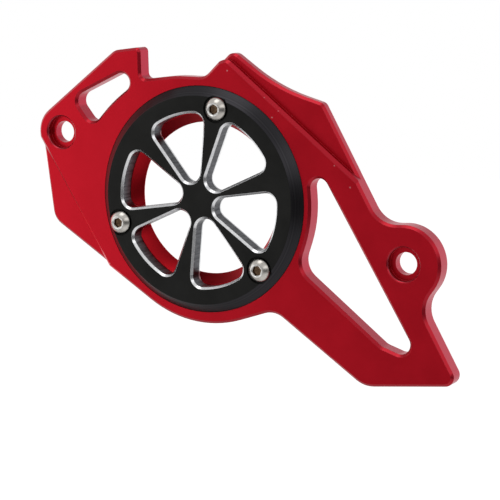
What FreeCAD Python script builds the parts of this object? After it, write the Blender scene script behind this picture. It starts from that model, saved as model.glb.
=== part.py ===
import FreeCAD, Part
import Sketcher
import math
import os
import re

# Motorcycle sprocket cover: a machined aluminium plate that bolts over the front sprocket,
# with a black spoked insert let into its face and held by three button-head screws.
# X runs to the rear of the machine, Z runs up and the face looks along -Y.
# The origin is on the sprocket's axis, in the plane of the plate's back.

# Driving sizes in millimetres, angles in degrees
SIZES = {
    # Plate
    "plate_thick": 5.5,
    "edge_chamfer": 0.8,
    "rim_wall": 2.5,
    "rim_shift_x": 0.9,
    "rim_shift_z": -1.2,
    "crown_x": -7.5,
    "crown_z": -0.2,
    "crown_wall": 2.9,
    "wing_step_depth": 2.4,
    "flank_step_depth": 1.8,
    "step_chamfer": 1.0,
    "cut_margin": 12.0,
    # Bolt holes at the two ears
    "front_hole_x": -52.7,
    "front_hole_z": 18.8,
    "rear_hole_x": 69.5,
    "rear_hole_z": -15.1,
    "bolt_hole_radius": 3.5,
    "counterbore_radius": 5.3,
    "counterbore_depth": 2.3,
    "counterbore_chamfer": 0.4,
    "front_ear_wall": 3.45,
    "rear_lug_wall": 6.7,
    # Triangular opening and slot
    "opening_rib": 2.1,
    "opening_top_radius": 3.1,
    "slot_nose_radius": 3.05,
    "curve_gap": 0.05,
    # Insert and its seat
    "insert_radius": 36.0,
    "insert_thick": 5.0,
    "seat_depth": 2.1,
    "seat_play": 0.1,
    "seat_ledge": 11.8,
    "bore_land": 0.3,
    # Windows of the insert
    "window_count": 6,
    "window_angle": 47.16,
    "window_rim": 5.5,
    "window_half_angle": 21.95,
    "window_tip_radius": 3.6,
    "window_tip_centre": 9.6,
    "window_corner": 3.3,
    "window_chamfer": 0.7,
    # Screws of the insert
    "screw_count": 3,
    "screw_angle": 77.16,
    "screw_edge_distance": 6.1,
    "screw_radius": 2.0,
    "screw_length": 7.0,
    "screw_play": 0.15,
    "thread_play": 0.05,
    "head_radius": 3.8,
    "head_height": 2.2,
    "head_rim": 0.4,
    "head_flat": 2.2,
    "head_dome": 3.4,
    "socket_across": 3.0,
    "socket_depth": 1.4,
    "screw_point": 0.4,
    "spot_face_play": 0.5,
    "spot_face_depth": 0.6,
}

# Corners on the plate: distance along X, distance along Z and rounding radius
CORNERS = {
    "hook_tip": (-22.6, 47.4, 1.5),
    "shoulder": (-9.6, -1.3, 5.0),
    "lug_top": (-8.2, 11.4, 9.0),
    "lug_foot": (5.5, -12.9, 8.5),
    "foot_tip": (18.5, -35.7, 3.0),
    "foot_heel": (-31.4, -3.5, 9.0),
    "flank_low": (-4.7, -29.1, 6.0),
    "slot_shoulder": (4.4, 11.6, 3.3),
    "opening_foot": (-12.2, 5.4, 3.2),
    "opening_sole": (-13.4, 4.3, 4.0),
    "wing_step_top": (8.8, 44.8, 3.0),
    "wing_step_end": (-1.3, 8.3, 0),
    "wing_step_exit": (-12.8, -4.6, 0),
    "flank_step_top": (-10.3, 0.5, 0),
    "flank_step_end": (-33.0, -27.8, 0),
}

# The place each of these corners is measured from; the others are measured from the origin
MEASURED_FROM = {
    "shoulder": "hook_tip",
    "lug_top": "rear_hole",
    "lug_foot": "rear_hole",
    "foot_tip": "rear_hole",
    "foot_heel": "foot_tip",
    "flank_low": "front_hole",
    "slot_shoulder": "front_hole",
    "opening_foot": "foot_tip",
    "opening_sole": "opening_foot",
    "wing_step_end": "lug_top",
    "wing_step_exit": "wing_step_top",
    "flank_step_top": "front_hole",
}

# Corners beside a long curve: distance outside the curve and rounding radius
CURVE_CORNERS = {
    "hook_foot": (1.23, 1.8),
    "peak_foot": (0.78, 5.0),
    "peak": (0.69, 3.0),
    "wing_tip": (0.37, 2.4),
    "arm_root": (2.08, 7.0),
    "slot_heel": (0.36, 3.3),
    "opening_heel": (0.81, 6.5),
}

# Where places beside a long curve lie: angle round the curve's centre
CURVE_ANGLES = {
    "hook_foot": 111.64,
    "peak_foot": 77.93,
    "peak": -133.43,
    "wing_tip": -99.24,
    "arm_root": -52.51,
    "slot_heel": 145.31,
    "slot_nose": 124.2,
    "opening_heel": -29.65,
    "opening_top": 8.5,
}

# Long curves of the outline and the slot: centre along X, centre along Z and radius
CURVES = {
    "wing_hollow": (50.5, 90.4, 58.8),
    "slot_belly": (-1.1, -6.3, 47.9),
}

# How far the insert's face is in front of the plate's back, and radii that follow the insert's
INSERT_FACE = "plate_thick - seat_depth + insert_thick"
BORE_RADIUS = "insert_radius + seat_play - seat_ledge"
WINDOW_RADIUS = "insert_radius - insert_thick + seat_depth - window_rim"
SCREW_CIRCLE = "(insert_radius - screw_edge_distance)"
SCREW_X = SCREW_CIRCLE + " * cos(screw_angle)"
SCREW_Z = SCREW_CIRCLE + " * sin(screw_angle)"

# Centre and radius of each long curve
CROWN = ("crown_x", "crown_z", "insert_radius + crown_wall")
WING_HOLLOW = ("wing_hollow_x", "wing_hollow_z", "wing_hollow_round")
SLOT_BELLY = ("slot_belly_x", "slot_belly_z", "slot_belly_round")
RIM = ("rim_shift_x", "rim_shift_z", "insert_radius + rim_wall")
OPENING_SIDE = ("0", "0", "insert_radius + seat_play + opening_rib")

SCREWS = ("upper_insert_screw", "front_insert_screw", "rear_insert_screw")

# A difference too small to count, in millimetres
SMALL = 0.001


def driving_values():
    """Every driving value under the name that its cell carries."""
    values = dict(SIZES)
    for name, (x, z, radius) in list(CORNERS.items()) + list(CURVES.items()):
        values.update({name + "_x": x, name + "_z": z, name + "_round": radius})
    for name, (lift, radius) in CURVE_CORNERS.items():
        values.update({name + "_lift": lift, name + "_round": radius})
    values.update({name + "_angle": angle for name, angle in CURVE_ANGLES.items()})
    return {name: value for name, value in values.items() if value or not name.endswith("_round")}


VALUES = driving_values()


def fill_sheet(doc):
    sheet = doc.addObject("Spreadsheet::Sheet", "sizes")
    for row, (name, value) in enumerate(VALUES.items(), start=1):
        sheet.set("A%d" % row, name)
        sheet.set("B%d" % row, str(value))
        sheet.setAlias("B%d" % row, name)
    doc.recompute()


def bound(formula):
    """The formula as another object of the document has to write it."""
    return re.sub(r"[a-z_]+\w*", lambda m: "sizes." + m.group() if m.group() in VALUES else m.group(), formula)


def plane_of(body, role):
    return [feature for feature in body.Origin.OriginFeatures if feature.Role == role][0]


class Sketch:
    """A sketch on one of the body's own planes, whose sizes follow formulas of the sheet."""

    def __init__(self, body, name, lift=None, turn=None, plane="XZ_Plane"):
        self.ties = []
        self.formulas = []
        self.item = body.newObject("Sketcher::SketchObject", name)
        self.item.AttachmentSupport = [(plane_of(body, plane), "")]
        self.item.MapMode = "FlatFace"
        if turn:
            quarter = FreeCAD.Rotation(FreeCAD.Vector(0, 0, 1), 90)
            self.item.AttachmentOffset = FreeCAD.Placement(FreeCAD.Vector(), quarter)
            self.item.setExpression("AttachmentOffset.Rotation.Angle", bound(turn))
        if lift:
            self.item.setExpression("AttachmentOffset.Base.z", bound(lift))

    def value(self, formula):
        result = self.item.evalExpression(bound(formula))
        return float(getattr(result, "Value", result))

    def tie(self, kind, *parts):
        self.ties.append(Sketcher.Constraint(kind, *parts))

    def drive(self, kind, *parts):
        """Add a constraint whose last part is a formula that it stays bound to."""
        formula = parts[-1]
        self.formulas.append((len(self.ties), bound(formula)))
        self.tie(kind, *parts[:-1], self.value(formula))

    def drive_angle(self, first, second, formula):
        """Bind the angle from one line to another, in degrees."""
        self.formulas.append((len(self.ties), "(%s) * 1 deg" % bound(formula)))
        self.tie("Angle", first, 1, second, 1, math.radians(self.value(formula)))

    def settle(self):
        """Hand the constraints to the sketch in one go, and bind those that follow a formula."""
        self.item.addConstraint(self.ties)
        for index, formula in self.formulas:
            self.item.setExpression("Constraints[%d]" % index, formula)
        return self.item

    def place(self, index, end, x, z):
        self.drive("DistanceX", index, end, x)
        self.drive("DistanceY", index, end, z)

    def line(self, start, end):
        return self.item.addGeometry(Part.LineSegment(start, end), False)

    def circle(self, x, z, radius):
        centre = FreeCAD.Vector(self.value(x), self.value(z), 0)
        ring = Part.Circle(centre, FreeCAD.Vector(0, 0, 1), self.value(radius))
        index = self.item.addGeometry(ring, False)
        self.place(index, 3, x, z)
        self.drive("Radius", index, radius)

    def arc(self, centre, start, end):
        """An arc that runs to the left from start to end."""
        ring = Part.Circle(centre, FreeCAD.Vector(0, 0, 1), (start - centre).Length)
        angles = [math.atan2(p.y - centre.y, p.x - centre.x) for p in (start, end)]
        return self.item.addGeometry(Part.ArcOfCircle(ring, *angles), False)

    def dome(self, start, end):
        """The arc of a button head, which starts level with the head's flat."""
        span = end - start
        rise = self.value("head_dome")
        middle = (start + end) * 0.5
        side = FreeCAD.Vector(-span.y, span.x, 0).normalize()
        centre = middle + side * math.sqrt(rise ** 2 - (span.Length / 2) ** 2)
        return self.arc(centre, start, end)

    def copy(self, other):
        """Repeat another sketch's loop, with its constraints and formulas."""
        self.item.addGeometry(other.item.Geometry, False)
        self.ties = other.ties
        self.formulas = other.formulas

    def loop(self, stations):
        """Close a loop of straight lines that run from station to station, joined by tangent arcs."""
        spots = [FreeCAD.Vector(self.value(s.x), self.value(s.z), 0) for s in stations]
        reach = [s.turn * self.value(s.radius) if s.turn else 0.0 for s in stations]
        sides = []
        for i, spot in enumerate(spots):
            j = (i + 1) % len(spots)
            span = spots[j] - spot
            heading = math.atan2(span.y, span.x) - math.asin((reach[j] - reach[i]) / span.Length)
            sides.append(FreeCAD.Vector(math.cos(heading), math.sin(heading), 0))
        bends = [self.bend(s, spots[i], sides[i - 1], sides[i]) for i, s in enumerate(stations)]
        lines = [self.line(bend.leave, bends[(i + 1) % len(bends)].arrive) for i, bend in enumerate(bends)]
        for i, station in enumerate(stations):
            self.join(station, spots[i], bends[i], lines[i - 1], lines[i])

    def bend(self, station, spot, before, after):
        """Where the outline arrives at a station, the centre of its arc and where it leaves."""
        left_before = FreeCAD.Vector(-before.y, before.x, 0)
        left_after = FreeCAD.Vector(-after.y, after.x, 0)
        if station.turn:
            size = station.turn * self.value(station.radius)
            centre = spot
        else:
            angle = math.atan2(before.x * after.y - before.y * after.x, before.dot(after))
            size = math.copysign(self.value(station.radius), angle) if station.radius else 0.0
            centre = spot - before * abs(size * math.tan(angle / 2)) + left_before * size
        return Bend(centre - left_before * size, centre, centre - left_after * size, size)

    def join(self, station, spot, bend, line_before, line_after):
        """Join two neighbouring lines at a station, and bind its place and its radius."""
        if not bend.size:
            self.tie("Coincident", line_before, 2, line_after, 1)
            self.place(line_after, 1, station.x, station.z)
            return
        if bend.size > 0:
            bow, near, far = self.arc(bend.centre, bend.arrive, bend.leave), 1, 2
        else:
            bow, near, far = self.arc(bend.centre, bend.leave, bend.arrive), 2, 1
        self.tie("Tangent", line_before, 2, bow, near)
        self.tie("Tangent", bow, far, line_after, 1)
        self.drive("Radius", bow, station.radius)
        if station.turn:
            self.place(bow, 3, station.x, station.z)
            return
        mark = self.item.addGeometry(Part.Point(spot), True)
        self.place(mark, 1, station.x, station.z)
        self.tie("PointOnObject", mark, 1, line_before)
        self.tie("PointOnObject", mark, 1, line_after)


class Bend:
    def __init__(self, arrive, centre, leave, size):
        self.arrive = arrive
        self.centre = centre
        self.leave = leave
        self.size = size


class Station:
    """A corner of a loop or, where turn is set, an arc about a centre: 1 turns left, -1 right."""

    def __init__(self, x, z, radius=None, turn=0):
        self.x = x
        self.z = z
        self.radius = radius
        self.turn = turn


def place_of(name):
    """Formulas for a place's distance from the origin along X and Z."""
    x, z = name + "_x", name + "_z"
    if name not in MEASURED_FROM:
        return x, z
    base_x, base_z = place_of(MEASURED_FROM[name])
    return "%s + %s" % (base_x, x), "%s + %s" % (base_z, z)


def corner(name):
    return Station(*place_of(name), name + "_round" if name + "_round" in VALUES else None)


def curve_corner(name, curve):
    """A corner at its own angle round a curve's centre and a little outside the curve."""
    return Station(*round_curve(curve, name, name + "_lift"), name + "_round")


def curve_touch(name, curve):
    """An arc outside a curve, joined to it by a short straight line."""
    return Station(*round_curve(curve, name, name + "_radius + curve_gap"), name + "_radius", turn=1)


def round_curve(curve, name, lift):
    x, z, radius = curve
    reach = "(%s + %s)" % (radius, lift)
    return "%s + %s * cos(%s_angle)" % (x, reach, name), "%s + %s * sin(%s_angle)" % (z, reach, name)


def pad(body, sketch, name, length):
    feature = body.newObject("PartDesign::Pad", name)
    feature.Profile = sketch.settle()
    feature.setExpression("Length", bound(length))
    body.Document.recompute()
    return feature


def pocket(body, sketch, name, depth=None):
    """Cut a sketch into the body towards the back, right through where no depth is given."""
    before = body.Shape.Volume
    feature = body.newObject("PartDesign::Pocket", name)
    feature.Profile = sketch.settle()
    if depth:
        feature.setExpression("Length", bound(depth))
    else:
        feature.Type = "ThroughAll"
    body.Document.recompute()
    if feature.Shape.Volume > before - SMALL:
        raise RuntimeError(name + " cuts nothing")
    return feature


def repeat_around(body, features, name, count):
    """Repeat cuts round the sprocket's axis."""
    pattern = body.newObject("PartDesign::PolarPattern", name)
    pattern.Originals = features
    pattern.Axis = (plane_of(body, "Y_Axis"), [""])
    pattern.Angle = 360
    pattern.setExpression("Occurrences", bound(count))
    body.Tip = pattern
    body.Document.recompute()


def dress(body, kind, name, edges, size):
    """Chamfer or fillet these edges of the body."""
    if not edges:
        raise RuntimeError(name + " finds no edge")
    base = body.Tip
    feature = body.newObject("PartDesign::" + kind, name)
    feature.Base = (base, edges)
    feature.setExpression("Radius" if kind == "Fillet" else "Size", bound(size))
    body.Document.recompute()
    if "Invalid" in feature.State:
        raise RuntimeError("%s fails on %s" % (name, edges))


def edges_where(body, test):
    """Names of the body's edges that pass the test."""
    edges = enumerate(body.Tip.Shape.Edges, start=1)
    return ["Edge%d" % number for number, edge in edges if test(edge)]


def same(one, other):
    return abs(one - other) < SMALL


def lies_at(edge, level):
    """True where the whole edge lies at this distance in front of the body's back plane."""
    return same(edge.BoundBox.YMin, -level) and same(edge.BoundBox.YMax, -level)


def is_sharp(body, edge):
    """True where a wall that stands upright on the face meets this edge."""
    walls = body.Tip.Shape.ancestorsOfType(edge, Part.Face)
    return any(same(wall.normalAt(0, 0).y, 0) for wall in walls)


def cover_plate(doc):
    body = doc.addObject("PartDesign::Body", "cover_plate")
    outline = plate_blank(body)
    flank_step(body, outline)
    wing_step(body, outline)
    plate_openings(body)
    plate_bolt_holes(body)
    plate_seat(body)
    return body


def plate_blank(body):
    outline = Sketch(body, "plate_outline")
    outline.loop([
        corner("shoulder"),
        Station("front_hole_x", "front_hole_z", "counterbore_radius + front_ear_wall", turn=1),
        corner("flank_low"),
        Station(*RIM, turn=1),
        curve_corner("arm_root", RIM),
        corner("foot_heel"),
        corner("foot_tip"),
        corner("lug_foot"),
        Station("rear_hole_x", "rear_hole_z", "counterbore_radius + rear_lug_wall", turn=1),
        corner("lug_top"),
        curve_corner("wing_tip", WING_HOLLOW),
        Station(*WING_HOLLOW, turn=-1),
        curve_corner("peak", WING_HOLLOW),
        curve_corner("peak_foot", CROWN),
        Station(*CROWN, turn=1),
        curve_corner("hook_foot", CROWN),
        corner("hook_tip"),
    ])
    pad(body, outline, "blank", "plate_thick")
    chamfer_face(body, "front_edges", "edge_chamfer")
    return outline


def chamfer_face(body, name, size, round_only=False):
    """Chamfer the edges of the plate's face that are still sharp, or only the full circles among them."""
    edges = edges_where(body, lambda edge: lies_at(edge, VALUES["plate_thick"]) and is_sharp(body, edge)
                        and (edge.isClosed() or not round_only))
    dress(body, "Chamfer", name, edges, size)


def plate_openings(body):
    """Cut the slot beside the front ear and the triangular opening behind the insert."""
    openings = Sketch(body, "opening_outlines", lift="plate_thick")
    openings.loop([
        curve_touch("slot_nose", SLOT_BELLY),
        corner("slot_shoulder"),
        curve_corner("slot_heel", SLOT_BELLY),
        Station(*SLOT_BELLY, turn=-1),
    ])
    openings.loop([
        curve_touch("opening_top", OPENING_SIDE),
        Station(*OPENING_SIDE, turn=-1),
        curve_corner("opening_heel", OPENING_SIDE),
        corner("opening_sole"),
        corner("opening_foot"),
    ])
    pocket(body, openings, "openings")
    chamfer_face(body, "opening_edges", "edge_chamfer")


def wing_step(body, outline):
    left, _ = place_of("wing_step_exit")
    right, _ = place_of("wing_step_end")
    stations = [
        corner("wing_step_exit"),
        corner("wing_step_top"),
        corner("wing_step_end"),
        Station(right + " + cut_margin", "wing_step_top_z + cut_margin"),
        Station(left, "wing_step_top_z + cut_margin"),
    ]
    lower_face(body, outline, "wing_step", stations)


def flank_step(body, outline):
    left, _ = place_of("flank_step_top")
    stations = [
        corner("flank_step_top"),
        Station(left + " - cut_margin", "flank_step_end_z - cut_margin"),
        corner("flank_step_end"),
    ]
    lower_face(body, outline, "flank_step", stations)


def lower_face(body, outline, name, stations):
    """Cut part of the face down to a lower level, whose outer edges are chamfered in turn."""
    cut = Sketch(body, name + "_outline", lift="plate_thick")
    cut.loop(stations)
    pocket(body, cut, name, name + "_depth + edge_chamfer")
    slab = Sketch(body, name + "_floor_outline", lift="plate_thick - %s_depth - edge_chamfer" % name)
    slab.copy(outline)
    floor = pad(body, slab, name + "_floor", "edge_chamfer")
    floor.TaperAngle = -45
    brink = Sketch(body, name + "_brink_outline", lift="plate_thick - step_chamfer")
    brink.loop(stations)
    bevel = pocket(body, brink, name + "_brink", "step_chamfer")
    bevel.Reversed = True
    bevel.TaperAngle = 45
    body.Document.recompute()


def plate_seat(body):
    """Sink the insert's seat into the face, with the sprocket's wide-mouthed bore and the tapped holes in it."""
    seat = Sketch(body, "seat_circle", lift="plate_thick")
    seat.circle("0", "0", "insert_radius + seat_play")
    pocket(body, seat, "seat", "seat_depth")
    bore = Sketch(body, "bore_circle", lift="plate_thick")
    bore.circle("0", "0", BORE_RADIUS)
    pocket(body, bore, "bore")
    mouth = edges_where(body, lambda edge: edge.isClosed() and same(edge.BoundBox.XLength / 2, bore.value(BORE_RADIUS))
                        and lies_at(edge, VALUES["plate_thick"] - VALUES["seat_depth"]))
    dress(body, "Chamfer", "bore_mouth", mouth, "plate_thick - seat_depth - bore_land")
    tapped = Sketch(body, "tapped_hole_circle", lift="plate_thick")
    tapped.circle(SCREW_X, SCREW_Z, "screw_radius + thread_play")
    hole = pocket(body, tapped, "tapped_hole")
    repeat_around(body, [hole], "tapped_holes", "screw_count")


def plate_bolt_holes(body):
    """Counterbore and drill the ear at each end."""
    sinks = Sketch(body, "counterbore_circles", lift="plate_thick")
    holes = Sketch(body, "bolt_hole_circles", lift="plate_thick")
    for end in ("front", "rear"):
        sinks.circle(end + "_hole_x", end + "_hole_z", "counterbore_radius")
        holes.circle(end + "_hole_x", end + "_hole_z", "bolt_hole_radius")
    pocket(body, sinks, "counterbores", "counterbore_depth")
    chamfer_face(body, "counterbore_edges", "counterbore_chamfer", round_only=True)
    pocket(body, holes, "bolt_holes")


def spoked_insert(doc):
    body = doc.addObject("PartDesign::Body", "spoked_insert")
    disc = Sketch(body, "disc_circle", lift="plate_thick - seat_depth")
    disc.circle("0", "0", "insert_radius")
    pad(body, disc, "disc", "insert_thick")
    face = disc.value(INSERT_FACE)
    rim = edges_where(body, lambda edge: lies_at(edge, face))
    dress(body, "Chamfer", "bevel", rim, "insert_thick - seat_depth")
    insert_windows(body, face)
    insert_screw_holes(body)
    return body


def insert_windows(body, face):
    sketch = Sketch(body, "window_outline", lift=INSERT_FACE, turn="window_angle")
    window_outline(sketch)
    window = pocket(body, sketch, "window")
    repeat_around(body, [window], "windows", "window_count")
    reach = sketch.value(WINDOW_RADIUS)
    corners = edges_where(body, lambda edge: same(edge.BoundBox.XLength, 0) and same(edge.BoundBox.ZLength, 0)
                          and same(math.hypot(edge.BoundBox.XMin, edge.BoundBox.ZMin), reach))
    dress(body, "Fillet", "window_corners", corners, "window_corner")
    rims = edges_where(body, lambda edge: lies_at(edge, face)
                       and edge.BoundBox.DiagonalLength < VALUES["insert_radius"])
    dress(body, "Chamfer", "window_edges", rims, "window_chamfer")


def window_outline(sketch):
    """Draw one window along the sketch's first axis: a round tip, two straight sides and an outer arc."""
    lean = math.radians(VALUES["window_half_angle"])
    tip, near, far = VALUES["window_tip_radius"], VALUES["window_tip_centre"], sketch.value(WINDOW_RADIUS)
    centre = FreeCAD.Vector(near, 0, 0)
    foot = FreeCAD.Vector(near - tip * math.sin(lean), tip * math.cos(lean), 0)
    along = FreeCAD.Vector(math.cos(lean), math.sin(lean), 0)
    run = math.sqrt(far ** 2 - (foot.dot(foot) - foot.dot(along) ** 2)) - foot.dot(along)
    head = foot + along * run
    low_foot, low_head = FreeCAD.Vector(foot.x, -foot.y, 0), FreeCAD.Vector(head.x, -head.y, 0)
    lower = sketch.line(low_foot, low_head)
    outer = sketch.arc(FreeCAD.Vector(), low_head, head)
    upper = sketch.line(head, foot)
    inner = sketch.arc(centre, foot, low_foot)
    sketch.tie("Coincident", lower, 2, outer, 1)
    sketch.tie("Coincident", outer, 2, upper, 1)
    sketch.tie("Tangent", upper, 2, inner, 1)
    sketch.tie("Tangent", inner, 2, lower, 1)
    sketch.place(outer, 3, "0", "0")
    sketch.place(inner, 3, "window_tip_centre", "0")
    sketch.drive("Radius", outer, WINDOW_RADIUS)
    sketch.drive("Radius", inner, "window_tip_radius")
    sketch.tie("Symmetric", outer, 1, outer, 2, -1)
    sketch.drive_angle(-1, lower, "-window_half_angle")


def insert_screw_holes(body):
    spot = Sketch(body, "spot_face_circle", lift=INSERT_FACE)
    spot.circle(SCREW_X, SCREW_Z, "head_radius + spot_face_play")
    spot_face = pocket(body, spot, "spot_face", "spot_face_depth")
    clearance = Sketch(body, "screw_hole_circle", lift=INSERT_FACE)
    clearance.circle(SCREW_X, SCREW_Z, "screw_radius + screw_play")
    hole = pocket(body, clearance, "screw_hole")
    repeat_around(body, [spot_face, hole], "screw_holes", "screw_count")


def button_screw(doc, number, name):
    """A button-head screw whose head rests on the insert's spot-face."""
    body = doc.addObject("PartDesign::Body", name)
    profile = Sketch(body, name + "_profile", plane="XY_Plane")
    screw_profile(profile)
    turned = body.newObject("PartDesign::Revolution", name + "_turned")
    turned.Profile = profile.settle()
    turned.ReferenceAxis = (profile.item, ["V_Axis"])
    turned.Angle = 360
    doc.recompute()
    socket = Sketch(body, name + "_socket_outline", lift="head_height")
    hexagon(socket, "socket_across / sqrt(3)")
    pocket(body, socket, name + "_socket", "socket_depth")
    turn = "(screw_angle + %d * 360 / screw_count)" % number
    body.setExpression("Placement.Base.x", bound(SCREW_CIRCLE + " * cos" + turn))
    body.setExpression("Placement.Base.y", bound("spot_face_depth - (%s)" % INSERT_FACE))
    body.setExpression("Placement.Base.z", bound(SCREW_CIRCLE + " * sin" + turn))
    return body


def screw_profile(sketch):
    """Half of a screw's section: the head ahead of the bearing plane and the shank behind it."""
    places = [
        ("0", "-head_height"),
        ("head_flat", "-head_height"),
        ("head_radius", "-head_rim"),
        ("head_radius", "0"),
        ("screw_radius", "0"),
        ("screw_radius", "screw_length - screw_point"),
        ("screw_radius - screw_point", "screw_length"),
        ("0", "screw_length"),
    ]
    spots = [FreeCAD.Vector(sketch.value(x), sketch.value(y), 0) for x, y in places]
    edges = []
    for i, spot in enumerate(spots):
        nearest = spots[(i + 1) % len(spots)]
        edges.append(sketch.dome(spot, nearest) if i == 1 else sketch.line(spot, nearest))
    for i, (x, y) in enumerate(places):
        sketch.tie("Coincident", edges[i - 1], 2, edges[i], 1)
        sketch.place(edges[i], 1, x, y)
    sketch.drive("Radius", edges[1], "head_dome")


def hexagon(sketch, radius):
    """A hexagon with level flats, drawn in a circle about the sketch's origin."""
    size = sketch.value(radius)
    turns = [math.radians(60 * i) for i in range(6)]
    spots = [FreeCAD.Vector(size * math.cos(turn), size * math.sin(turn), 0) for turn in turns]
    ring = sketch.item.addGeometry(Part.Circle(FreeCAD.Vector(), FreeCAD.Vector(0, 0, 1), size), True)
    sketch.tie("Coincident", ring, 3, -1, 1)
    sketch.drive("Radius", ring, radius)
    sides = [sketch.line(spot, spots[(i + 1) % 6]) for i, spot in enumerate(spots)]
    for i, side in enumerate(sides):
        sketch.tie("Coincident", sides[i - 1], 2, side, 1)
        sketch.tie("PointOnObject", side, 1, ring)
        if i:
            sketch.tie("Equal", sides[0], side)
    sketch.tie("Horizontal", sides[1])


def main():
    doc = FreeCAD.newDocument("sprocket_cover")
    fill_sheet(doc)
    bodies = [cover_plate(doc), spoked_insert(doc)]
    bodies += [button_screw(doc, number, name) for number, name in enumerate(SCREWS)]
    doc.recompute()
    for item in doc.Objects:
        if "Invalid" in item.State or "Error" in item.State:
            raise RuntimeError("%s did not compute" % item.Label)
    os.makedirs("parts", exist_ok=True)
    for body in bodies:
        shape = body.Shape
        if shape.isNull() or not shape.isValid():
            raise RuntimeError("%s has no valid solid" % body.Label)
        shape.exportStep("parts/%s.step" % body.Label)
        print("%s: %.0f cubic millimetres" % (body.Label, shape.Volume))


main()
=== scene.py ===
import math
from types import SimpleNamespace

import bpy
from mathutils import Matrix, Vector

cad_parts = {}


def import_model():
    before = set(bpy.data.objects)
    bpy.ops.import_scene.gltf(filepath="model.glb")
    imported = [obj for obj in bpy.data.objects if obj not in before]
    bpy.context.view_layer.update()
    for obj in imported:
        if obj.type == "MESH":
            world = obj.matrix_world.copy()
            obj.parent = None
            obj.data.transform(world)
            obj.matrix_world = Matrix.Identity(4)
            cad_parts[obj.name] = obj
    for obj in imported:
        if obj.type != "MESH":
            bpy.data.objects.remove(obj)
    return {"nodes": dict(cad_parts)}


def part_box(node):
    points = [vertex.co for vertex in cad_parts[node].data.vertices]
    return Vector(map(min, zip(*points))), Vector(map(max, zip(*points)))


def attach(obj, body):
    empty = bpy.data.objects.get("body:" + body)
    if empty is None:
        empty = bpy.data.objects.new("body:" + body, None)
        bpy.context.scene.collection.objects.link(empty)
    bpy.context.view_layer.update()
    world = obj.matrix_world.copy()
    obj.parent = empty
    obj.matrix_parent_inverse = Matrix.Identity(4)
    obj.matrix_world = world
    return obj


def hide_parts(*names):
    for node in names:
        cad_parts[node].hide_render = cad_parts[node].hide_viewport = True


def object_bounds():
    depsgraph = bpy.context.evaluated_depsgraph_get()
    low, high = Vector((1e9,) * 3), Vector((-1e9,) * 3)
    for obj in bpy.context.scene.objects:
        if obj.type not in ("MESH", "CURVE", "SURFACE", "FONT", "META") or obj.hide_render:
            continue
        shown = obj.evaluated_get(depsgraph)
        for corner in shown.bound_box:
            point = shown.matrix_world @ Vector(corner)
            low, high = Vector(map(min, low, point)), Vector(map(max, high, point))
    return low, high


# Looks of a machined and anodised sprocket cover for a motorcycle.
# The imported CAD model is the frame: this script gives it its finish, its screws, floor, light and camera.
# X runs along the cover, Y from its face to its back, and Z up. Its face looks along -Y.

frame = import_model()
cad_low, cad_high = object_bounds()
nodes = frame["nodes"]

MM = 0.001
PLATE_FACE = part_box("cover_plate")[0].y
INSERT_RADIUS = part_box("spoked_insert")[1].x
INSERT_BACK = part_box("spoked_insert")[1].y
SCREWS = ("upper_insert_screw", "front_insert_screw", "rear_insert_screw")


def screw_axis(name):
    """Where a screw's axis meets the plane of the cover's back."""
    low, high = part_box(name)
    return (low.x + high.x) / 2, 0.0, (low.z + high.z) / 2


SCREW_AXES = [screw_axis(name) for name in SCREWS]

# Height of a screw's head in millimetres, and the plane that it bears on
HEAD_HEIGHT = 2.2
HEAD_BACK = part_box(SCREWS[0])[0].y + HEAD_HEIGHT * MM


def linear(code):
    """A colour code such as 1a2b3c as linear light."""
    parts = [int(code[i:i + 2], 16) / 255 for i in (0, 2, 4)]
    return tuple(p / 12.92 if p <= 0.04045 else ((p + 0.055) / 1.055) ** 2.4 for p in parts) + (1.0,)


WHITE = linear("ffffff")


def add(tree, kind, *values, **named):
    """Add a node with its settings and links.

    The values fill its open sockets in order. A name in small letters is a setting, and any other name is
    a socket's. A value is a number, a colour, another node's output, or a node, which gives its first output.
    """
    node = tree.nodes.new("ShaderNode" + kind)
    for name, value in named.items():
        if name.islower():
            setattr(node, name, value)
    sockets = [socket for socket in node.inputs if socket.enabled]
    filled = list(zip(sockets, values))
    for name, value in named.items():
        if not name.islower():
            filled.append((node.inputs[name.replace("_", " ")], value))
    for socket, value in filled:
        if isinstance(value, bpy.types.Node):
            value = next(output for output in value.outputs if output.enabled)
        if isinstance(value, bpy.types.NodeSocket):
            tree.links.new(value, socket)
        else:
            socket.default_value = value
    return node


def new_material(name):
    """A material with an empty node tree."""
    material = bpy.data.materials.new(name)
    material.use_nodes = True
    material.node_tree.nodes.clear()
    return material, material.node_tree


def product(tree, first, *others):
    """All of these multiplied: masks leave only where all of them are, and a number weakens a mask."""
    for other in others:
        first = add(tree, "Math", first, other, operation="MULTIPLY")
    return first


def fades(tree, axes, steps):
    """Several fades multiplied. Each goes along one axis, between two places and between two values."""
    return product(tree, *(add(tree, "MapRange", axes[axis], *step) for axis, *step in steps))


def nearest(tree, place, spots):
    """Distance to the nearest of these spots, in metres."""
    gaps = [add(tree, "VectorMath", place, spot, operation="DISTANCE") for spot in spots]
    least = gaps[0]
    for gap in gaps[1:]:
        least = add(tree, "Math", least, gap, operation="MINIMUM")
    return least


def two_tone(tree, noise, levels, first, second):
    """One colour that turns to another while the noise goes from one level to the other."""
    tint = add(tree, "MapRange", noise, *levels)
    return add(tree, "Mix", tint, linear(first), linear(second), data_type="RGBA")


def painted(tree, colour, layers):
    """A colour with layers over it, each a mask and the colour that it lets through."""
    for mask, paint in layers:
        colour = add(tree, "Mix", mask, colour, paint, data_type="RGBA")
    return colour


# Noise between two such levels is spread over the whole way from one colour to another
SOFT = (0.35, 0.65)
SOFTER = (0.3, 0.7)

# Multiplied by this, a place keeps its X and Z alone
ACROSS = (1.0, 0.0, 1.0)


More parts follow.
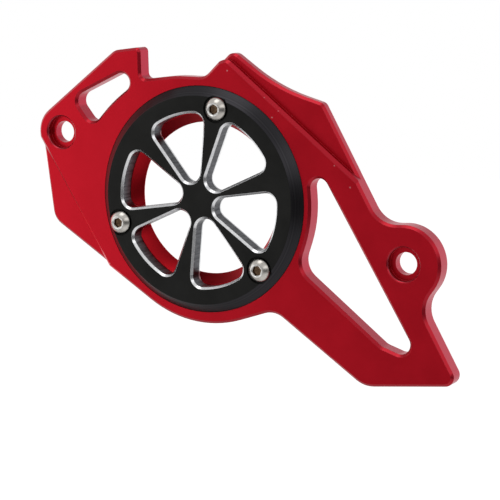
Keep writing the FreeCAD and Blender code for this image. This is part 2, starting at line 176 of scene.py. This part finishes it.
def surface(tree):
    """What a finish goes by: a point's place and depth, its distance from the axis, and its face's normal."""
    place = add(tree, "TexCoord").outputs["Object"]
    across = add(tree, "VectorMath", place, ACROSS, operation="MULTIPLY")
    normal = add(tree, "NewGeometry").outputs["True Normal"]
    return SimpleNamespace(
        place=place,
        across=across,
        depth=add(tree, "SeparateXYZ", place).outputs["Y"],
        radius=add(tree, "VectorMath", across, operation="LENGTH"),
        normal=normal,
        facing=add(tree, "SeparateXYZ", normal).outputs["Y"],
    )


# A face is flat where its normal is more than FLAT along Y, and a wall where it is less than UPRIGHT
FLAT = 0.95
UPRIGHT = 0.3

# Radii of the broken edges
PLATE_EDGE = 0.16 * MM
INSERT_EDGE = 0.24 * MM
SCREW_EDGE = 0.08 * MM

# Sizes of the patches in which the red's dye and wear vary
RED_CLOUD = 14.0 * MM
WEAR_PATCH = 0.9 * MM

# The blasted grain is some 0.05 mm and is drawn coarser, to show at all
BLAST_GRAIN = 0.22 * MM
BLAST_DEPTH = 0.02 * MM

# How far beyond the insert the plate's other milling begins, and a radius that takes in the bore
SEAT_MARGIN = 0.5 * MM
BORE_REACH = 28.5 * MM

# The bolt holes' axes, a radius just past their counterbores, and a plane just ahead of their floors
BOLT_AXES = [(-52.7 * MM, 0.0, 18.8 * MM), (69.5 * MM, 0.0, -15.1 * MM)]
COUNTERBORE_REACH = 5.4 * MM
COUNTERBORE_FLOOR = -3.3 * MM

# The flank's low step, whose wall has a painted highlight, runs along a straight line: the direction across
# it, how far it is from the axis, and how far on either side of it a wall is the step's
STEP_ACROSS = (-0.789, 0.0, -0.614)
STEP_AWAY = 41.7 * MM
STEP_REACH = 1.5 * MM

# Nicks and specks in the red face, the last four being painted glints at the two ends of the flank's low
# step: distance along X and Z in millimetres
NICKS_AND_STEP_GLINTS = [(22.3, 33.3), (27.1, 29.4), (46.3, 13.5), (24.9, 27.2), (9.2, 41.0), (51.6, 7.2),
         (-55.1, 4.6), (-34.6, -23.3), (-36.4, -21.2), (-56.3, 2.4)]

# Each nick and painted glint is pale up to one distance from its middle and ends at the next. Noise shakes
# its outline by up to half of the shake given below, in patches of the grain given below.
NICK_AND_GLINT_REACH = (0.15 * MM, 0.32 * MM)
NICK_AND_GLINT_SHAKE = 0.5 * MM
NICK_AND_GLINT_GRAIN = 0.4 * MM


def edge_wear(tree, at, rounded):
    """Wear in patches along the edges, which are where the rounded normal leaves the face's own."""
    agree = add(tree, "VectorMath", rounded, at.normal, operation="DOT_PRODUCT")
    edge = add(tree, "MapRange", agree, 0.995, 0.93)
    patches = add(tree, "TexNoise", at.place, 1 / WEAR_PATCH, 2.0, 0.6)
    wear = add(tree, "MapRange", patches, 0.45, 0.7, 0.15, 0.7)
    return product(tree, edge, wear)


def milling(tree, at):
    """Where the plate was milled, and the layers of its bore with its painted shade, its cuts, its
    counterbores and its step with its painted highlight.
    """
    flatness = add(tree, "Math", at.facing, operation="ABSOLUTE")
    off_flat = add(tree, "Math", flatness, FLAT, operation="LESS_THAN")
    in_bore = add(tree, "Math", at.radius, BORE_REACH, operation="LESS_THAN")
    past_seat = add(tree, "Math", at.radius, INSERT_RADIUS + SEAT_MARGIN, operation="GREATER_THAN")
    milled = product(tree, off_flat, past_seat)
    upright = add(tree, "Math", flatness, UPRIGHT, operation="LESS_THAN")
    cut = add(tree, "Mix", upright, linear("b1182d"), linear("b31b44"), data_type="RGBA")
    bolt_gap = nearest(tree, at.across, BOLT_AXES)
    at_bolt = add(tree, "Math", bolt_gap, COUNTERBORE_REACH, operation="LESS_THAN")
    before_floor = add(tree, "Math", at.depth, COUNTERBORE_FLOOR, operation="LESS_THAN")
    # The step's wall is painted a brighter red as a highlight along the step
    away = add(tree, "VectorMath", at.place, STEP_ACROSS, operation="DOT_PRODUCT")
    step_highlight = add(tree, "Math", away, STEP_AWAY, STEP_REACH, operation="COMPARE")
    # The bore's walls are milled, and painted a darker red still as the shade under the insert
    layers = [(product(tree, off_flat, in_bore), linear("b41822")),
              (product(tree, milled, 0.6), cut),
              (product(tree, milled, at_bolt, before_floor), linear("a84450")),
              (product(tree, milled, step_highlight), linear("f42c46"))]
    return milled, layers


def nicked_and_glinting(tree, at):
    """Where each nick and painted glint is. Noise shifts each place, so their middles are shifted by its
    average.
    """
    push = add(tree, "TexNoise", at.place, 1 / NICK_AND_GLINT_GRAIN, 1.0).outputs["Color"]
    shift = add(tree, "VectorMath", push, NICK_AND_GLINT_SHAKE, operation="SCALE")
    shaken = add(tree, "VectorMath", at.place, shift, operation="ADD")
    average = Vector((NICK_AND_GLINT_SHAKE, NICK_AND_GLINT_SHAKE, NICK_AND_GLINT_SHAKE)) / 2
    middles = [Vector((x * MM, PLATE_FACE, z * MM)) + average for x, z in NICKS_AND_STEP_GLINTS]
    return add(tree, "MapRange", nearest(tree, shaken, middles), *NICK_AND_GLINT_REACH, 1.0, 0.0)


def red_anodised():
    """Red dye anodised over finely blasted aluminium: a deep satin red that pales only at a glancing angle.

    The milled chamfers and walls are a darker red under a light clear sheen, and the low step's wall is
    painted brighter as a highlight.
    """
    material, tree = new_material("red_anodised_blasted_aluminium")
    at = surface(tree)
    rounded = add(tree, "Bevel", PLATE_EDGE, samples=6)
    cloud = add(tree, "TexNoise", at.place, 1 / RED_CLOUD, 3.0, 0.6)
    milled, cuts = milling(tree, at)
    worn = [(edge_wear(tree, at, rounded), linear("d95a66"))]
    # Pale spots: small dents and specks, and painted glints at the ends of the low step
    nicks_and_glints = [(nicked_and_glinting(tree, at), linear("e08a90"))]
    colour = painted(tree, two_tone(tree, cloud, SOFT, "c41b29", "cc1d2c"), worn + cuts + nicks_and_glints)
    roughness = add(tree, "MapRange", cloud, *SOFTER, 0.33, 0.38)
    grain = add(tree, "TexNoise", at.place, 1 / BLAST_GRAIN, 2.0, 0.7)
    normal = add(tree, "Bump", Height=grain, Strength=0.10, Distance=BLAST_DEPTH, Normal=rounded)
    shader = add(tree, "BsdfPrincipled", Base_Color=colour, Roughness=roughness, Normal=normal, Metallic=1.0,
                 Coat_Weight=product(tree, milled, 0.27), Coat_Roughness=0.25)
    add(tree, "OutputMaterial", Surface=shader)
    return material


# How far in from the insert's rim its bevel ends and its windows begin
BEVEL_REACH = 3.1 * MM
WINDOWS_FROM = 7.6 * MM

# A radius just past a screw's spot-face
SPOT_FACE_REACH = 4.6 * MM

# The spokes are bright at their back edges: how far in from the rim, and how far ahead of the back, that
# begins and is full
SPOKES_FROM = (9.5 * MM, 10.5 * MM)
BACK_EDGE = (0.75 * MM, 0.55 * MM)

# How far a chamfer's or the bevel's normal points along Y, and by how much that may differ
SLANTED = (-0.65, 0.25)

# Sizes of the patches in which the black and the bare edges vary
BLACK_CLOUD = 11.0 * MM
BRIGHT_CLOUD = 1.1 * MM

# Turning marks are some 0.1 mm apart, and an end mill's marks some 0.2 mm. All are drawn coarser, to show.
TURNING_MARKS = 0.3 * MM
MILLING_MARKS = 0.8 * MM
EDGE_MARKS = 0.4 * MM
MARKS_DEPTH = 0.03 * MM

# Multiplied by this, a place draws the end mill's marks out along Y
DRAWN_OUT = (1.0, 0.12, 1.0)


def insert_masks(tree, at):
    """Where the insert's bevel, its windows' walls, their back edges and their front edges are."""
    slanted = add(tree, "Math", at.facing, *SLANTED, operation="COMPARE")
    upright = add(tree, "Math", at.facing, 0.0, UPRIGHT, operation="COMPARE")
    outside = add(tree, "Math", at.radius, INSERT_RADIUS - BEVEL_REACH, operation="GREATER_THAN")
    within = add(tree, "Math", 1.0, outside, operation="SUBTRACT")
    in_windows = add(tree, "Math", at.radius, INSERT_RADIUS - WINDOWS_FROM, operation="LESS_THAN")
    screw_gap = nearest(tree, at.across, SCREW_AXES)
    off_screws = add(tree, "Math", screw_gap, SPOT_FACE_REACH, operation="GREATER_THAN")
    on_spokes = add(tree, "MapRange", at.radius, *(INSERT_RADIUS - reach for reach in SPOKES_FROM))
    rear = add(tree, "MapRange", at.depth, *(INSERT_BACK - reach for reach in BACK_EDGE))
    bevel = product(tree, slanted, outside)
    wall = product(tree, upright, in_windows, off_screws)
    back_edge = product(tree, wall, rear, on_spokes)
    front_edge = product(tree, slanted, within, off_screws)
    return bevel, wall, back_edge, front_edge


def black_anodised():
    """Black anodised aluminium with a fine turned bevel, and windows milled bright through the black.

    The face is a dull near black, the bevel shines softly, and the windows' edges look like bare metal.
    """
    material, tree = new_material("black_anodised_and_bright_milled_aluminium")
    at = surface(tree)
    bevel, wall, back_edge, front_edge = insert_masks(tree, at)
    cloud = add(tree, "TexNoise", at.place, 1 / BLACK_CLOUD, 3.0, 0.6)
    bright_cloud = add(tree, "TexNoise", at.place, 1 / BRIGHT_CLOUD, 3.0, 0.6)
    turned = add(tree, "TexNoise", at.radius, 1 / TURNING_MARKS, 2.0, noise_dimensions="1D")
    stretched = add(tree, "VectorMath", at.place, DRAWN_OUT, operation="MULTIPLY")
    chatter = add(tree, "TexNoise", stretched, 1 / MILLING_MARKS, 3.0, 0.7)
    hatch = add(tree, "TexNoise", at.place, 1 / EDGE_MARKS, 2.0, 0.8)

    bright = two_tone(tree, bright_cloud, SOFT, "e6e7ea", "fbfbfc")
    layers = [(bevel, two_tone(tree, turned, SOFT, "2e2d30", "3b3a3d")),
              (wall, two_tone(tree, chatter, SOFT, "323337", "636468")),
              (back_edge, bright),
              (front_edge, bright)]
    colour = painted(tree, two_tone(tree, cloud, SOFT, "2a2a29", "30302f"), layers)

    roughness = 0.58
    for mask, level in ((bevel, 0.30), (wall, 0.30), (front_edge, 0.23)):
        roughness = add(tree, "Mix", mask, roughness, level)
    height = 0.0
    streak = add(tree, "MapRange", turned, *SOFT)
    for mask, marks, share in ((bevel, streak, 0.5), (wall, chatter, 1.0), (front_edge, hatch, 1.6)):
        height = add(tree, "Mix", mask, height, product(tree, marks, share))
    rounded = add(tree, "Bevel", INSERT_EDGE, samples=6)
    normal = add(tree, "Bump", Height=height, Strength=0.25, Distance=MARKS_DEPTH, Normal=rounded)
    shader = add(tree, "BsdfPrincipled", Base_Color=colour, Roughness=roughness, Normal=normal, Metallic=1.0)
    add(tree, "OutputMaterial", Surface=shader)
    return material


# Sizes of the patches in which the screws' steel varies, outside and in the socket
STEEL_CLOUD = 2.4 * MM
SOCKET_CLOUD = 0.7 * MM

# The lip round a screw's socket, burnished and painted near white as a highlight: how far from the axis, and
# half its width
LIP = (1.9 * MM, 0.2 * MM)

# How far a screw head's normal points along Y where the painted shade at its rim starts, and where it is
# darkest
RIM_SHADE = (-0.60, -0.40)


def stainless():
    """Satin stainless steel, turned: softly cloudy, with painted shade round the edge of a head, and a ring
    about its socket that is burnished and painted bright as a highlight.
    """
    material, tree = new_material("satin_turned_stainless_steel")
    at = surface(tree)
    head = add(tree, "Math", at.depth, HEAD_BACK, operation="LESS_THAN")
    # Painted shade darkens each head towards its rim
    rim_shade = add(tree, "MapRange", at.facing, *RIM_SHADE)
    # The lip round the socket is painted near white: partly burnishing, partly a painted highlight
    lip_highlight = add(tree, "Math", nearest(tree, at.across, SCREW_AXES), *LIP, operation="COMPARE")
    layers = [(product(tree, head, rim_shade), linear("423e3b")), (product(tree, head, lip_highlight), linear("fbfaf8"))]
    cloud = add(tree, "TexNoise", at.place, 1 / STEEL_CLOUD, 2.0, 0.6)
    colour = painted(tree, two_tone(tree, cloud, SOFTER, "cbc6bf", "d9d5cf"), layers)
    roughness = add(tree, "MapRange", cloud, *SOFTER, 0.22, 0.27)
    rounded = add(tree, "Bevel", SCREW_EDGE, samples=6)
    shader = add(tree, "BsdfPrincipled", Base_Color=colour, Roughness=roughness, Normal=rounded, Metallic=1.0)
    add(tree, "OutputMaterial", Surface=shader)
    return material


def socket_steel():
    """The broached socket of a screw: dull steel, painted dark and brownish as the shade where light hardly
    gets in.
    """
    material, tree = new_material("dull_steel_painted_socket_shade")
    place = add(tree, "TexCoord").outputs["Object"]
    cloud = add(tree, "TexNoise", place, 1 / SOCKET_CLOUD, 3.0, 0.6)
    # Painted shade: the socket's steel is coloured dark brown for the recess
    colour = two_tone(tree, cloud, SOFT, "6f5a48", "93795f")
    shader = add(tree, "BsdfPrincipled", Base_Color=colour, Roughness=0.45, Metallic=1.0)
    add(tree, "OutputMaterial", Surface=shader)
    return material


def dress(node, material):
    """Give a node of the frame its finish."""
    data = nodes[node].data
    data.materials.clear()
    data.materials.append(material)


# Button-head screw, in millimetres ahead of its bearing plane and away from its axis.
# The outline runs from under the head over its dome to the socket's mouth.
HEAD_OUTLINE = [(-0.15, 2.0), (0.0, 2.15), (0.0, 3.70), (0.05, 3.78), (0.13, 3.8), (0.22, 3.79),
                (0.5, 3.72), (0.85, 3.54), (1.15, 3.33), (1.45, 3.07), (1.72, 2.78), (1.95, 2.48),
                (2.11, 2.25), (2.18, 2.12), (HEAD_HEIGHT, 2.04), (HEAD_HEIGHT - 0.03, 1.98), (1.98, 1.76)]
SOCKET_SHOULDER = 1.95
SOCKET_FLOOR = 0.8
SOCKET_POINT = 0.35
SOCKET_HALF = 1.42
SOCKET_CORNER = 0.05
SHANK_RADIUS = 2.0
SHANK_LENGTH = 7.0
THREAD_PITCH = 0.7
THREAD_DEPTH = 0.3
THREAD_STEEPNESS = 1.25
POINT_LENGTH = 0.4
ROUND_STEPS = 72
RINGS_PER_PITCH = 10

# A screw's edges stay sharp where they turn by more than this
CREASE = math.radians(28)

# Each screw stands turned by this much more than the one before it, in radians
SPIN_STEP = 0.9

# The directions of a ring's points
TURNS = [math.tau * i / ROUND_STEPS for i in range(ROUND_STEPS)]


def hexagon_reach(turn):
    """How far a hexagon's side is from its centre in this direction."""
    return SOCKET_HALF / math.cos((turn + math.pi / 6) % (math.pi / 3) - math.pi / 6)


def thread_reach(turn, behind):
    """The thread's radius at this turn and this far behind the bearing plane."""
    phase = (behind / THREAD_PITCH - turn / math.tau) % 1.0
    flank = min(1.0, abs(2 * phase - 1) * THREAD_STEEPNESS)
    tapered = min(1.0, behind / THREAD_PITCH)
    narrow = max(0.0, behind - (SHANK_LENGTH - POINT_LENGTH))
    return SHANK_RADIUS - THREAD_DEPTH * flank * tapered - narrow


def shank_rings():
    """Rings of (height, radius of each point), from the screw's point up to its head."""
    steps = int(SHANK_LENGTH / THREAD_PITCH * RINGS_PER_PITCH)
    depths = [SHANK_LENGTH * i / steps for i in range(steps, 0, -1)]
    return [(-behind, [thread_reach(turn, behind) for turn in TURNS]) for behind in depths]


def socket_rings():
    """Rings of the hexagon socket, from its shoulder down to its floor."""
    hexagon = [hexagon_reach(turn) for turn in TURNS]
    broken = [reach - SOCKET_CORNER for reach in hexagon]
    return [(SOCKET_SHOULDER, hexagon), (SOCKET_FLOOR + SOCKET_CORNER, hexagon), (SOCKET_FLOOR, broken)]


def build_screw(name, axis, spin):
    """A screw with rounded edges, a hexagon socket and a real thread, in place of the plain one."""
    x, _, z = axis

    def spot(height, radius, turn):
        along_x = x + radius * MM * math.cos(turn + spin)
        along_z = z + radius * MM * math.sin(turn + spin)
        return along_x, HEAD_BACK - height * MM, along_z

    head = [(height, [radius] * ROUND_STEPS) for height, radius in HEAD_OUTLINE]
    socket = socket_rings()
    points = [spot(height, radius, turn) for height, radii in shank_rings() + head + socket
              for radius, turn in zip(radii, TURNS)]
    last = len(points) - ROUND_STEPS
    tip, floor_point = len(points), len(points) + 1
    points += [spot(-SHANK_LENGTH, 0.0, 0.0), spot(SOCKET_POINT, 0.0, 0.0)]

    steps = [(i, (i + 1) % ROUND_STEPS) for i in range(ROUND_STEPS)]
    faces = [(tip, j, i) for i, j in steps]
    for low in range(0, last, ROUND_STEPS):
        high = low + ROUND_STEPS
        faces += [(low + i, low + j, high + j, high + i) for i, j in steps]
    faces += [(last + i, last + j, floor_point) for i, j in steps]
    in_socket = len(faces) - len(socket) * ROUND_STEPS

    mesh = bpy.data.meshes.new(name + "_threaded")
    mesh.from_pydata(points, [], faces)
    mesh.validate()
    mesh.materials.append(STEEL)
    mesh.materials.append(SOCKET)
    for face in mesh.polygons:
        face.use_smooth = True
        face.material_index = 1 if face.index >= in_socket else 0
    mesh.set_sharp_from_angle(angle=CREASE)
    item = bpy.data.objects.new(name + "_threaded", mesh)
    bpy.context.scene.collection.objects.link(item)
    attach(item, "root")
    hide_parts(name)


# Floor, some way below the cover, which hangs on its bolts
FLOOR_DROP = 0.35
FLOOR_SIZE = 6.0

# How much the paper glows where it is seen, and the share of that where metal mirrors it
FLOOR_GLOW = 0.65
MIRRORED_SHARE = 0.82

# Stretches of the paper as metal mirrors it, each as its fades: the axis, where on it the fade starts and
# ends in metres, and the values there. It glows behind and below the cover, and is dim at the front on the
# far right.
BEHIND = [("Y", 0.06, 0.5, 0.0, 1.0)]
BELOW = [("X", -0.10, 0.08, 0.0, 0.5), ("X", 1.3, 0.8, 0.0, 1.0), ("Y", -0.6, -0.3, 0.0, 1.0)]
FAR_RIGHT = [("X", 0.7, 1.3, 0.0, 1.0), ("Y", 0.0, -0.5, 0.0, 1.0)]


def white_floor():
    """Matt white paper, which glows to white where it is seen, and in part where metal mirrors it."""
    material, tree = new_material("white_paper_floor")
    path = add(tree, "LightPath").outputs
    place = add(tree, "SeparateXYZ", add(tree, "TexCoord").outputs["Object"]).outputs
    where = add(tree, "Math", fades(tree, place, BEHIND), fades(tree, place, BELOW), operation="MAXIMUM")
    by_metal = add(tree, "Math", path["Is Glossy Ray"], path["Is Transmission Ray"], operation="MAXIMUM")
    mirrored = product(tree, by_metal, where, MIRRORED_SHARE)
    shown = add(tree, "Math", path["Is Camera Ray"], mirrored, operation="MAXIMUM")
    glow = add(tree, "Emission", WHITE, product(tree, shown, FLOOR_GLOW))
    dim = product(tree, path["Is Glossy Ray"], fades(tree, place, FAR_RIGHT))
    paper = add(tree, "Mix", dim, linear("f2f2f2"), linear("868686"), data_type="RGBA")
    lit = add(tree, "BsdfDiffuse", paper)
    add(tree, "OutputMaterial", Surface=add(tree, "AddShader", lit, glow))
    return material


def floor():
    low = cad_low.z - FLOOR_DROP
    half = FLOOR_SIZE / 2
    mesh = bpy.data.meshes.new("floor")
    corners = [(-half, -half, low), (half, -half, low), (half, half, low), (-half, half, low)]
    mesh.from_pydata(corners, [], [(0, 1, 2, 3)])
    item = bpy.data.objects.new("floor", mesh)
    bpy.context.scene.collection.objects.link(item)
    mesh.materials.append(white_floor())


# The studio as metal mirrors it, each side as its fades: the axis, the shares of a direction along it where
# the fade starts and ends, from -1 to 1, and the values there. The brightest side shows.
FRONT = [("X", 0.30, 0.80, 0.36, 0.145)]
LEFT = [("X", -0.60, -0.85, 0.0, 0.9)]
RIGHT = [("X", 0.35, 0.65, 0.0, 1.26), ("Z", 0.10, 0.35, 0.0, 1.0), ("Z", 0.75, 0.55, 0.0, 1.0)]
TOP = [("Z", 0.20, 0.60, 0.0, 0.66)]
BACK = [("Y", -0.25, 0.10, 0.0, 1.0), ("Z", 0.33, 0.44, 1.0, 0.62)]

# The studio's light on everything, where it isn't mirrored
ROOM_LIGHT = 0.46


def world():
    """A white studio with a dark gap in front, where the camera stands, as metal mirrors it."""
    scene_world = bpy.data.worlds.new("studio")
    bpy.context.scene.world = scene_world
    scene_world.use_nodes = True
    tree = scene_world.node_tree
    tree.nodes.clear()
    path = add(tree, "LightPath").outputs
    way = add(tree, "SeparateXYZ", add(tree, "TexCoord").outputs["Generated"]).outputs
    brightest = fades(tree, way, FRONT)
    for side in (LEFT, RIGHT, TOP, BACK):
        brightest = add(tree, "Math", brightest, fades(tree, way, side), operation="MAXIMUM")
    room = add(tree, "Background", WHITE, brightest)
    plain = add(tree, "Background", WHITE, ROOM_LIGHT)
    white = add(tree, "Background", WHITE, 1.0)
    unseen = add(tree, "MixShader", path["Is Glossy Ray"], plain, room)
    seen = add(tree, "Math", path["Is Camera Ray"], path["Is Transmission Ray"], operation="MAXIMUM")
    add(tree, "OutputWorld", Surface=add(tree, "MixShader", seen, unseen, white))


# Soft boxes: name, place, width, height and watts. All are turned to the cover's middle.
SOFT_BOXES = [("top_soft_box", (-0.10, -0.30, 0.95), 0.5, 0.5, 0.95),
              ("left_soft_box", (-0.40, -0.30, -0.07), 0.35, 0.55, 0.46)]
CENTRE = Vector((0.013, 0.0, -0.004))


def soft_box(name, place, width, height, watts):
    data = bpy.data.lights.new(name, "AREA")
    data.shape = "RECTANGLE"
    data.size, data.size_y = width, height
    data.energy = watts
    item = bpy.data.objects.new(name, data)
    item.location = place
    item.rotation_mode = "QUATERNION"
    item.rotation_quaternion = (CENTRE - Vector(place)).to_track_quat("-Z", "Y")
    item.visible_camera = False
    bpy.context.scene.collection.objects.link(item)


# Camera, fitted to the photograph's outline and walls. The lens and the sensor's width are in millimetres.
CAMERA_PLACE = Vector((0.29850, -0.53188, 0.08523))
CAMERA_AIM = Vector((0.01434, 0.0, -0.01577))
LENS = 139.2
SENSOR_WIDTH = 36.0


def camera():
    data = bpy.data.cameras.new("camera")
    data.lens = LENS
    data.sensor_width = SENSOR_WIDTH
    item = bpy.data.objects.new("camera", data)
    item.location = CAMERA_PLACE
    item.rotation_mode = "QUATERNION"
    item.rotation_quaternion = (CAMERA_AIM - CAMERA_PLACE).to_track_quat("-Z", "Y")
    bpy.context.scene.collection.objects.link(item)
    bpy.context.scene.camera = item


STEEL = stainless()
SOCKET = socket_steel()
dress("cover_plate", red_anodised())
dress("spoked_insert", black_anodised())
for number, (screw, axis) in enumerate(zip(SCREWS, SCREW_AXES)):
    build_screw(screw, axis, number * SPIN_STEP)
floor()
world()
for box in SOFT_BOXES:
    soft_box(*box)
camera()
bpy.context.scene.view_settings.view_transform = "Standard"
